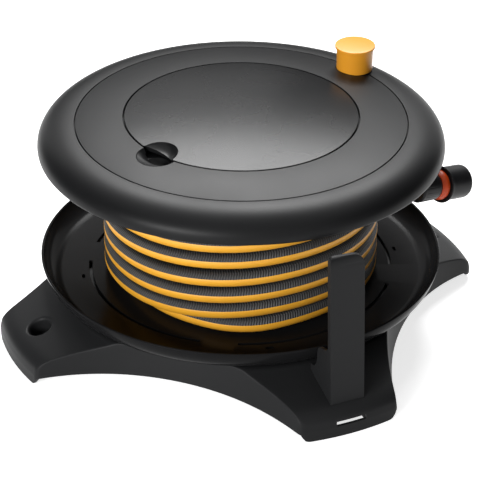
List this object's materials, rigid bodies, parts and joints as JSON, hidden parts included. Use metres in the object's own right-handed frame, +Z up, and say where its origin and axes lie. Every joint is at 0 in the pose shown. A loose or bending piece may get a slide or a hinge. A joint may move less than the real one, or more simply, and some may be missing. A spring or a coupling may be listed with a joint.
{
  "type": "hose reel",
  "caption": "Flat-standing garden hose reel: a turning drum with wound hose, winding knob and storage lid on a four-footed star base with a guide post.",
  "frame": {"origin": "on the drum's upright spin axis, at the floor", "axes": "+Z up along the spin axis, feet on +X, +Y, -X and -Y, guide post on the -Y foot"},
  "size_m": [0.5066, 0.5066, 0.2506],
  "materials": {
    "charcoal_plastic": "fine texture",
    "satin_plastic": "satin",
    "dish_plastic": "semi-gloss",
    "pale_plastic": "natural moulded",
    "amber_plastic": "semi-gloss",
    "flame_plastic": "semi-gloss",
    "connector_plastic": "soft-touch",
    "hose_rubber": "fine ribbed, amber stripe",
    "soft_rubber": "matt",
    "steel": "zinc plated",
    "brass": "turned"
  },
  "bodies": {
    "base": {"base_star": "charcoal_plastic", "foot_pad_1": "soft_rubber", "foot_pad_2": "soft_rubber", "foot_pad_3": "soft_rubber", "foot_pad_4": "soft_rubber", "foot_pad_5": "soft_rubber", "foot_pad_6": "soft_rubber", "foot_pad_7": "soft_rubber", "foot_pad_8": "soft_rubber", "guide_post": "charcoal_plastic", "post_screw_1": "steel", "post_screw_2": "steel", "spindle": "pale_plastic", "spindle_screw_1": "steel", "spindle_screw_2": "steel", "spindle_screw_3": "steel", "spindle_screw_4": "steel", "inlet_pipe": "charcoal_plastic", "inlet_nipple": "brass", "inlet_seal": "soft_rubber", "bearing_ring": "pale_plastic", "retaining_washer": "steel", "spindle_nut": "pale_plastic", "swivel_seal_1": "soft_rubber", "swivel_seal_2": "soft_rubber", "free_hose": "hose_rubber", "connector_tail": "connector_plastic", "connector_ring": "flame_plastic", "connector_body": "connector_plastic"},
    "collar": {"connector_collar": "connector_plastic"},
    "drum": {"lower_flange": "dish_plastic", "drum_core": "charcoal_plastic", "core_screw_1": "steel", "core_screw_2": "steel", "core_screw_3": "steel", "core_screw_4": "steel", "upper_flange": "satin_plastic", "cover_ring": "satin_plastic", "storage_bin": "charcoal_plastic", "hose_winding": "hose_rubber", "inner_hose_layers": "hose_rubber", "outlet_elbow": "charcoal_plastic", "feed_hose": "hose_rubber", "hose_clamp": "steel", "knob_pin": "steel"},
    "knob": {"knob_grip": "amber_plastic"},
    "lid": {"storage_lid": "satin_plastic"}
  },
  "joints": [
    {"name": "drum_spin", "type": "hinge", "parent": "base", "child": "drum", "pos_m": [0, 0, 0.05], "axis": [0, 0, 1], "continuous": true, "deforming": ["free_hose"]},
    {"name": "knob_spin", "type": "hinge", "parent": "drum", "child": "knob", "pos_m": [0.15553, 0.05295, 0.2231], "axis": [0, 0, 1], "continuous": true},
    {"name": "lid_lift", "type": "slide", "parent": "drum", "child": "lid", "axis": [0, 0, 1], "range_m": [0, 0.12]},
    {"name": "collar_slide", "type": "slide", "parent": "base", "child": "collar", "axis": [-0.9461, -0.2484, 0.2079], "range_m": [0, 0.003], "stiffness_N_per_m": 400}
  ]
}
